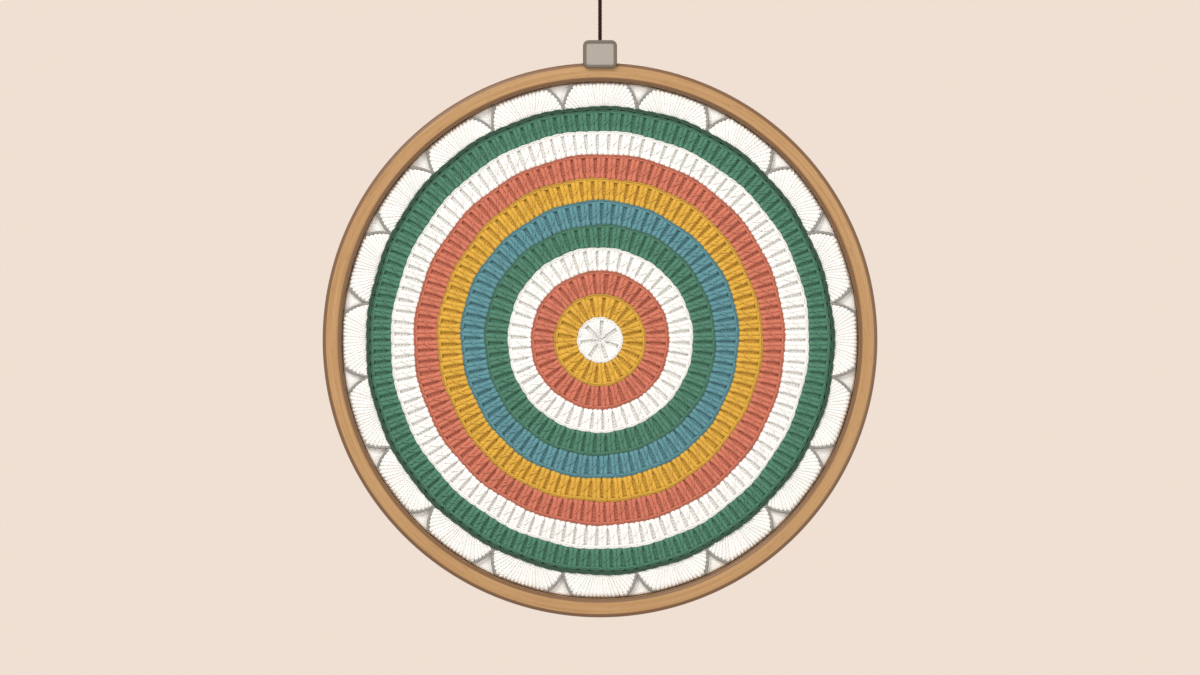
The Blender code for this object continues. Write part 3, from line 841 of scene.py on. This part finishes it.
def stray(turn, radius):
    """How far the hand work strays outwards: at each round's edge a sine of three to six turns
    and another of 11 to 21, and in between the mean of the two nearest edges, weighted by
    nearness. It fades out towards the centre and past the edging."""
    place_in = np.clip(radius / ROUND_HEIGHT, 0, len(ROUNDS))
    low = np.floor(place_in)
    share = place_in - low
    total = 0.0
    for edge, weight in ((low, 1 - share), (low + 1, share)):
        long = WAVER * np.sin((3 + edge % 4) * turn + WAVER_LAG * edge)
        short = RIPPLE * np.sin((11 + edge) * turn + RIPPLE_LAG * edge)
        total = total + weight * (long + short) * np.clip(edge / 6, 0, 1)
    fade = np.clip(1 - (radius - EDGING_R) / (4 * MM), 0, 1)
    return total * fade


def laid(turn, radius, front):
    """World points of yarn on the mandala, with the stray of hand work."""
    turn, radius, front = np.broadcast_arrays(turn, radius, front)
    return around(turn, radius + stray(turn, radius), front)


def stitches(kind, middle, pitch, foot, top, to_mandala):
    """Tall crochet stitches that stand side by side round a centre, from foot to top. Each has
    legs that fill its width, which is distance x pitch less a gap that opens above the foot and
    closes below the top, and it leans a little to one side. A wrap slants up over the legs: at
    the angle s round them it lies across at a share of the width x sin s, and in front at the
    legs' height x cos s. to_mandala turns an angle and a distance from that centre into a turn
    and a radius of the mandala."""
    count = len(middle)
    jitter = chance(5, count)[:, :, None, None]
    middle = middle[:, None, None] + UNEVEN * pitch * jitter[0]
    lean = LEAN * kind.gap * jitter[4]
    foot, top = (np.broadcast_to(end, count)[:, None, None] for end in (foot, top))
    top = top + UNEVEN_TOP * jitter[1]
    shade = chance(count)

    def section(up):
        distance = foot + (top - foot) * up
        width = distance * pitch
        opening = soft_step((up - GAP_FOOT) / GAP_OPENS) * soft_step((1.0 - up) / GAP_OPENS)
        width = width - np.minimum(kind.gap, MOST_GAP * width) * opening
        return distance, width, np.minimum(LEG_FLAT * width / (2 * kind.legs), kind.tall)

    def strand(angle, distance, front, wide, tall, copies):
        return strands(laid(*to_mandala(angle, distance), front), wide, YARN_SIDES,
                       np.repeat(shade, copies), heights=tall)

    up = np.linspace(-0.02, 1.02, LEG_POINTS)[None, None, :]
    distance, width, tall = section(up)
    leg = np.arange(kind.legs)[None, :, None]
    thick = width / (2 * kind.legs)
    across = (thick * (2 * leg + 1 - kind.legs)) * (2 - OVERLAP + (OVERLAP - 1) / kind.legs)
    dive = FOOT_DIVE * (1 - soft_step(up / LEG_END))
    dive = dive + kind.dip * soft_step((up - 1 + LEG_END) / LEG_END)
    front = STITCH_FRONT - dive + UNEVEN_FRONT * jitter[2]
    across = across + lean * (up - 0.5)
    shapes = [strand(middle + across / distance, distance, front, OVERLAP * thick, tall,
                     kind.legs)]

    way = np.linspace(0, 1, WRAP_POINTS)[None, None, :]
    for k in range(kind.wraps):
        up = (k + WRAP_FOOT + WRAP_STRAY * jitter[3] + WRAP_RISE * way) / kind.wraps
        distance, width, tall = section(up)
        slant = WRAP_TURN * (2 * way - 1)
        across = WRAP_REACH * width * np.sin(slant) + lean * (up - 0.5)
        front = STITCH_FRONT + (tall + WRAP_FRONT) * np.cos(slant)
        shapes.append(strand(middle + across / distance, distance, front, WRAP_HALF,
                             WRAP_TALL, 1))
    return shapes


def stitch_count(number):
    return FIRST_STITCHES + MORE_STITCHES * number


def round_top(number):
    """Where a round's yarn ends; the last leaves room for the edging."""
    top = (number + 1) * ROUND_HEIGHT
    return top if number + 1 < len(ROUNDS) else top - EDGING_HALF + 0.1 * MM


def round_stitches(number):
    """The standing stitches of one round."""
    count = stitch_count(number)
    pitch = math.tau / count
    middle = pitch * (FIRST_GAP + GAP_SHIFT * number + np.arange(count) + 0.5)
    foot = number * ROUND_HEIGHT - 1.0 * MM if number else 1.0 * MM
    return stitches(ROUND_STITCH if number else CENTRE_STITCH, middle, pitch, foot,
                    round_top(number) - CHAIN_WIDE / 2, lambda angle, distance: (angle, distance))


def chain(links, radius, front, half, thick, outer=0.0):
    """A round of chain: each link is two legs that leave the middle line, bulge to half a width
    as the sine of half a turn, and dive under the next link as they near the line again. outer
    is added to the shade of the outer legs, as painted shade where the next round meets them."""
    pitch = math.tau / links
    link = np.arange(links)[:, None, None]
    side = np.array([-1.0, 1.0])[None, :, None]
    way = np.linspace(0, 1, CHAIN_POINTS)[None, None, :]
    jitter = chance(2, links)[:, :, None, None]
    turn = pitch * (link + 0.05 * jitter[0] - LINK_EARLY + LINK_LONG * way)
    bulge = np.sin(math.pi * way ** 0.8)
    out = side * half * (LINK_ENDS + (1 - LINK_ENDS) * bulge + 0.1 * way)
    rise = front + thick * (LINK_DIP * np.cos(math.pi * way) + 0.12 * jitter[1])
    paths = laid(turn, radius + out, rise)
    radii = thick * (0.8 + 0.2 * np.sin(math.pi * way))
    shade = np.repeat(chance(links), 2) + np.tile([0.0, outer], links)
    return strands(paths, radii, YARN_SIDES, shade)


def make_rounds(yarns):
    made = []
    for number, colour in enumerate(ROUNDS):
        links = stitch_count(number) * (1 if number else 2)
        top = round_top(number) - CHAIN_WIDE / 2
        shapes = round_stitches(number)
        # painted shade on the chain's outer legs, weaker on white
        outer = WHITE_OUTER_LEG_SHADE if colour == "white" else OUTER_LEG_SHADE
        shapes.append(chain(links, top, CHAIN_FRONT, LINK_HALF, LINK_R, outer))
        made.append(yarn_piece(f"round_{number + 1:02d}_{colour}", shapes, yarns, colour))
    return made


def make_edging(yarns):
    shape = chain(stitch_count(len(ROUNDS) - 1), EDGING_R, EDGING_FRONT, EDGING_SPREAD,
                  EDGING_YARN)
    return yarn_piece("edging_round", [shape], yarns, "edging")


# Scallops

FAN_LEGS = 26
FAN_DEPTH = 10.0 * MM       # how far inside a scallop's centre its stitches would meet
FAN_SPREAD = math.radians(132)
FAN_FOOT = 0.4 * MM         # how far the stitches start under the edging,
FAN_IN = 0.6 * MM           # how far they end inside the scallop's edge,
FAN_CLEAR = 0.3 * MM        # and how far before the hoop
LINE_POINTS = 14
LINE_SIDES = 8
LINE_IN = 0.55 * MM         # how far the grey yarn lies inside the scallop's edge
LINE_LOW = math.radians(92)
LINE_R = 0.72 * MM
LINE_FRONT = MANDALA_BACK + 1.75 * MM
LINE_DIVE = 0.6 * MM        # how deep it goes down near the hoop, and over which length
LINE_FADE = 2.0 * MM
BED_IN = 0.7 * MM           # how far the ground of the stitches ends inside the scallops


def line_to_circle(lean, start, reach):
    """How far a line that starts at one radius, and leans by that angle from straight out, runs
    to the circle of another: -start cos(lean) + root of (reach^2 - start^2 sin(lean)^2)."""
    return np.sqrt(reach ** 2 - (start * np.sin(lean)) ** 2) - start * np.cos(lean)


def from_scallop(number, lean, out, start=SCALLOP_CENTRE_R):
    """The turn and radius of a point that lies that far out from a scallop's centre, or from
    another radius on the scallop's middle line."""
    up = start + out * np.cos(lean)
    across = out * np.sin(lean)
    return number * math.tau / SCALLOPS + np.arctan2(across, up), np.hypot(across, up)


def make_scallops(yarns):
    """Shells of stitches that fan out from the edging to each scallop's edge or to the hoop,
    short at the sides and tall in the middle."""
    pitch = FAN_SPREAD / FAN_LEGS
    lean = pitch * (np.arange(FAN_LEGS) - (FAN_LEGS - 1) / 2)
    start = SCALLOP_CENTRE_R - FAN_DEPTH
    foot = line_to_circle(lean, start, EDGING_R - FAN_FOOT)
    top = np.minimum(line_to_circle(lean, -FAN_DEPTH, SCALLOP_R - FAN_IN),
                     line_to_circle(lean, start, SCALLOP_REACH) - FAN_CLEAR)
    shapes = []
    for number in range(SCALLOPS):
        shapes += stitches(SHELL_STITCH, lean, pitch, foot, top,
                           lambda angle, out: from_scallop(number, angle, out, start))
    return yarn_piece("scallop_fans", shapes, yarns, "white")


def make_scallop_lines(yarns):
    """The grey yarn along each scallop's two sides, from the hoop to the edging. Its first
    angle comes from the triangle of the two centres and the place where it meets the hoop."""
    number = np.arange(SCALLOPS)[:, None, None]
    side = np.array([-1.0, 1.0])[None, :, None]
    out = SCALLOP_R - LINE_IN
    share = (SCALLOP_REACH ** 2 - SCALLOP_CENTRE_R ** 2 - out ** 2) / (2 * SCALLOP_CENTRE_R * out)
    lean = side * np.linspace(math.acos(share), LINE_LOW, LINE_POINTS)
    turn, radius = from_scallop(number, lean, out)
    hidden = soft_step((radius - SCALLOP_REACH + LINE_FADE) / LINE_FADE)
    paths = laid(turn, np.minimum(radius, SCALLOP_REACH - BED_IN),
                 LINE_FRONT - LINE_DIVE * hidden)
    shape = strands(paths, LINE_R, LINE_SIDES, chance(2 * SCALLOPS))
    return yarn_piece("scallop_lines", [shape], yarns, "grey")


def scallop_outline(turn):
    """How far the scallops reach at a turn: each one's circle, stopped by the hoop."""
    half = math.pi / SCALLOPS
    own = (turn + half) % (2 * half) - half
    across = SCALLOP_CENTRE_R * np.sin(own)
    circle = SCALLOP_CENTRE_R * np.cos(own) + np.sqrt(SCALLOP_R ** 2 - across ** 2)
    return np.minimum(circle, SCALLOP_REACH)


SEWN_CIRCLES = (3, 7, 10)   # the rounds whose edges are sewn to the cloth
SEWN_EVERY = 6.0 * MM
SEWN_SHARE = 0.6            # of that length, the share that shows at the back
THREAD_R = 0.3 * MM


def make_sewing(yarns):
    """The running stitches that hold the mandala, where they show on the cloth's back. Each one
    comes out of the cloth and goes back in: its depth is the sine of half a turn."""
    shapes = []
    for number in SEWN_CIRCLES:
        radius = number * ROUND_HEIGHT
        count = round(math.tau * radius / SEWN_EVERY)
        jitter = chance(3, count)[:, :, None]
        way = np.linspace(0, 1, WRAP_POINTS)[None, :]
        turn = (np.arange(count)[:, None] + 0.08 * jitter[0] + SEWN_SHARE * way) / count
        slip = 0.4 * MM * (jitter[1] + way * (jitter[2] - jitter[1]))
        front = CLOTH_FRONT - CLOTH_THICK + THREAD_R * (1 - 1.9 * np.sin(math.pi * way))
        paths = around(math.tau * turn, radius + slip, front)
        shapes.append(strands(paths, THREAD_R, YARN_SIDES, chance(count)))
    return yarn_piece("sewing_thread", shapes, yarns, "white")


BED_THICK = 0.75 * MM


def make_bed(beds):
    """The close ground of the stitches, seen in the gaps: a thin sheet with the scalloped
    outline. Its grid runs round the mandala, and out over the front and back underneath, from
    pole to pole; each round has its own yarn, darkened as painted shade."""
    rows = 24 * SCALLOPS
    turn = np.arange(rows)[:, None] / rows * math.tau - math.pi / SCALLOPS
    edges = np.arange(len(ROUNDS) + 1) * ROUND_HEIGHT
    edges[0] = 0.5 * MM
    edges[-1] -= EDGING_HALF
    inner = np.broadcast_to(np.append(edges, EDGING_R + EDGING_HALF), (rows, len(edges) + 1))
    inner = inner + stray(turn, inner)
    shares = np.array([0.35, 0.7, 1.0])
    outer = inner[:, -1:] + (scallop_outline(turn) - BED_IN - inner[:, -1:]) * shares
    reach = np.concatenate([inner, outer], axis=1)
    columns = reach.shape[1]
    radius = np.concatenate([reach, reach[:, ::-1]], axis=1)
    top = np.full(columns, MANDALA_BACK + BED_THICK)
    under = np.full(columns, MANDALA_BACK + 0.02 * MM)
    front = np.concatenate([top, under])
    names = list(beds)
    finish = np.full(2 * columns, names.index("white"))
    finish[:len(ROUNDS)] = [names.index(colour) for colour in ROUNDS]
    finish[len(ROUNDS)] = names.index("edging")
    u = np.arange(rows + 1) / rows * math.tau * EDGING_R / MM
    v = np.append(radius[0], radius[0, -1]) / MM
    poles = [place(0.0, 0.0, level) for level in (top[0], under[0])]
    shape = wrapped_grid(around(turn, radius, front), u, v,
                         np.broadcast_to(finish, (rows, 2 * columns)), poles, shade=0.0)
    made = add_piece("mandala_bed", build_mesh("mandala_bed", [shape]), list(beds.values()),
                     "yarn_white", "mandala")
    fine = np.linspace(0, math.tau, 4801)[:-1]
    area = float(np.mean(scallop_outline(fine) ** 2) * math.pi)
    return made, area


def main():
    add_camera()
    add_studio()
    make_cord()
    add_clip()
    make_outer_ring()
    make_inner_ring()
    make_ground_cloth()
    yarns = {colour: yarn(colour + " cotton yarn", colour) for colour in (*DEPTH_SHADE, "grey")}
    # The yarns of the gaps, darkened as painted shade.
    beds = {colour: shaded_gap_yarn("deep " + colour + " yarn", colour) for colour in DEPTH_SHADE}
    bed, area = make_bed(beds)
    on_it = make_rounds(yarns)
    on_it.append(make_edging(yarns))
    on_it.append(make_scallops(yarns))
    on_it.append(make_scallop_lines(yarns))
    on_it.append(make_sewing(yarns))


main()
